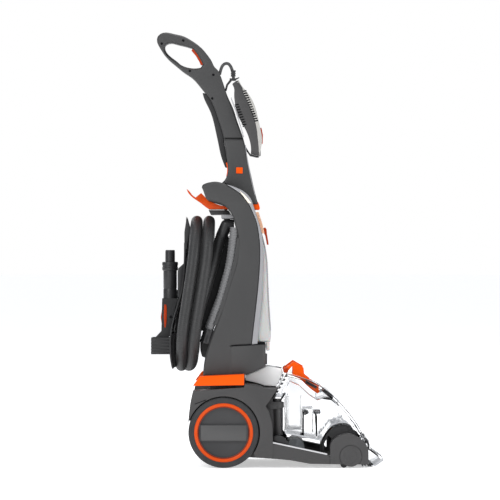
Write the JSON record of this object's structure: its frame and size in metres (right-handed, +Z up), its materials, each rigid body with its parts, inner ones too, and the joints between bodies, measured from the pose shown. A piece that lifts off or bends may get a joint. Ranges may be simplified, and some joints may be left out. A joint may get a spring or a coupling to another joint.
{
  "type": "upright carpet washer",
  "caption": "Upright carpet washer: reclining body with a clean water tank, wound hose, wand and hand unit, on a wheeled base with a clear dirty water tank and a brush head.",
  "frame": {"origin": "on the floor, under the middle of the machine's box", "axes": "+X forward, towards the nozzle; +Y to the machine's left; +Z up"},
  "size_m": [0.596, 0.286, 1.1183],
  "materials": {
    "casing": "fine matt grain",
    "black_plastic": "satin black moulding",
    "light_trim": "light grey satin",
    "orange": "glossy orange",
    "white_plastic": "satin white",
    "tank_white": "translucent frosted white",
    "clear_tank": "clear moulded plastic",
    "separator": "smoke grey moulding",
    "hose": "ribbed flexible hose",
    "duct": "ribbed grey duct",
    "cable": "matt black sheath",
    "tyre": "matt moulded tread",
    "hub": "satin dark hub",
    "steel": "bright turned steel",
    "motor": "grey painted can",
    "bristle": "stiff nylon tufts"
  },
  "bodies": {
    "base": {"side_shell_right": "casing", "side_shell_left": "casing", "arch_cover": "orange", "floor_pan": "black_plastic", "top_deck": "casing", "filter_lid": "white_plastic", "suction_column": "black_plastic", "head_cap_right": "casing", "head_cap_left": "casing", "brush_housing": "black_plastic", "suction_nozzle": "clear_tank", "squeegee": "cable", "brush_motor": "motor", "drive_belt": "cable", "axle": "steel"},
    "pedal": {"recline_pedal": "orange"},
    "wheel_right": {"tyre_right": "tyre", "hub_right": "hub"},
    "wheel_left": {"tyre_left": "tyre", "hub_left": "hub"},
    "roller_right": {"head_roller_right": "tyre"},
    "roller_left": {"head_roller_left": "tyre"},
    "brush": {"brush_roller": "bristle"},
    "motor_shaft": {"motor_pulley": "steel"},
    "dirty_tank": {"dirty_tank": "clear_tank", "tank_separator": "separator"},
    "tank_bail": {"tank_handle": "orange"},
    "upright": {"body_shell_right": "casing", "body_shell_left": "casing", "tank_surround": "light_trim", "lower_cover": "casing", "yoke": "black_plastic", "suction_motor": "motor", "water_pump": "black_plastic", "hose_port": "black_plastic", "rear_duct": "duct", "hose_spool": "black_plastic", "hose_coil": "hose", "hose_entry": "hose", "hose_tail": "hose", "hose_cuff": "black_plastic", "lower_stem": "casing", "handle_right": "casing", "handle_left": "casing", "spine_cover": "black_plastic", "unit_back": "casing", "unit_front": "white_plastic", "upper_hook": "black_plastic", "lower_hook": "black_plastic", "lead": "cable"},
    "fan": {"fan_rotor": "motor"},
    "flap": {"flap": "orange"},
    "wand": {"wand_tube": "black_plastic", "wand_grip": "black_plastic"},
    "wand_lever": {"wand_trigger": "orange"},
    "clean_tank": {"clean_tank": "tank_white"},
    "tank_latch": {"tank_lever": "orange"},
    "stem_button": {"square_button": "orange"},
    "handle_trigger": {"trigger": "orange"},
    "unit_switch": {"unit_button": "orange"}
  },
  "joints": [
    {"name": "recline", "type": "hinge", "parent": "base", "child": "upright", "pos_m": [-0.11, 0, 0.09], "axis": [0, -1, 0], "range_deg": [0, 50]},
    {"name": "recline_pedal_press", "type": "hinge", "parent": "base", "child": "pedal", "pos_m": [-0.066, -0.1235, 0.224], "axis": [0, -1, 0], "range_deg": [0, 5], "stiffness_Nm_per_rad": 5, "springref_deg": -2.86},
    {"name": "wheel_right_spin", "type": "hinge", "parent": "base", "child": "wheel_right", "pos_m": [-0.11, -0.1255, 0.09], "axis": [0, 1, 0], "continuous": true},
    {"name": "wheel_left_spin", "type": "hinge", "parent": "base", "child": "wheel_left", "pos_m": [-0.11, 0.1255, 0.09], "axis": [0, 1, 0], "continuous": true},
    {"name": "roller_right_spin", "type": "hinge", "parent": "base", "child": "roller_right", "pos_m": [0.196, -0.1235, 0.009], "axis": [0, 1, 0], "continuous": true},
    {"name": "roller_left_spin", "type": "hinge", "parent": "base", "child": "roller_left", "pos_m": [0.196, 0.1235, 0.009], "axis": [0, 1, 0], "continuous": true},
    {"name": "brush_spin", "type": "hinge", "parent": "base", "child": "brush", "pos_m": [0.213, 0, 0.03], "axis": [0, 1, 0], "continuous": true},
    {"name": "brush_motor_spin", "type": "hinge", "parent": "base", "child": "motor_shaft", "pos_m": [0.075, 0.09, 0.048], "axis": [0, 1, 0], "continuous": true},
    {"name": "dirty_tank_lift", "type": "slide", "parent": "base", "child": "dirty_tank", "axis": [0.46, 0, 0.8879], "range_m": [0, 0.15]},
    {"name": "tank_handle_fold", "type": "hinge", "parent": "dirty_tank", "child": "tank_bail", "pos_m": [0.049, 0, 0.244], "axis": [0, -1, 0], "range_deg": [0, 70]},
    {"name": "fan_spin", "type": "hinge", "parent": "upright", "child": "fan", "pos_m": [-0.108, 0.04, 0.273], "axis": [0, 1, 0], "continuous": true},
    {"name": "flap_lift", "type": "hinge", "parent": "upright", "child": "flap", "pos_m": [-0.106, 0, 0.664], "axis": [0, 1, 0], "range_deg": [0, 5]},
    {"name": "wand_lift", "type": "slide", "parent": "upright", "child": "wand", "axis": [0, 0, 1], "range_m": [0, 0.2]},
    {"name": "wand_trigger_pull", "type": "hinge", "parent": "wand", "child": "wand_lever", "pos_m": [-0.261, -0.02, 0.411], "axis": [0, -1, 0], "range_deg": [0, 4], "stiffness_Nm_per_rad": 0.3, "springref_deg": -2.86},
    {"name": "clean_tank_lift", "type": "slide", "parent": "upright", "child": "clean_tank", "axis": [1, 0, 0], "range_m": [0, 0.12]},
    {"name": "tank_lever_pull", "type": "hinge", "parent": "clean_tank", "child": "tank_latch", "pos_m": [-0.005, 0, 0.606], "axis": [0, -1, 0], "range_deg": [0, 25], "stiffness_Nm_per_rad": 0.1, "springref_deg": -5.73},
    {"name": "stem_button_press", "type": "slide", "parent": "upright", "child": "stem_button", "axis": [0, 1, 0], "range_m": [0, 0.002], "stiffness_N_per_m": 400, "springref_m": -0.001},
    {"name": "trigger_pull", "type": "hinge", "parent": "upright", "child": "handle_trigger", "pos_m": [-0.183, 0, 1.075], "axis": [0, -1, 0], "range_deg": [0, 5], "stiffness_Nm_per_rad": 0.5, "springref_deg": -2.86},
    {"name": "unit_button_press", "type": "slide", "parent": "upright", "child": "unit_switch", "axis": [-1, 0, 0], "range_m": [0, 0.002], "stiffness_N_per_m": 400, "springref_m": -0.001}
  ],
  "couplings": [
    {"joint": "brush_motor_spin", "follows": "brush_spin", "ratio": 1.9375}
  ]
}
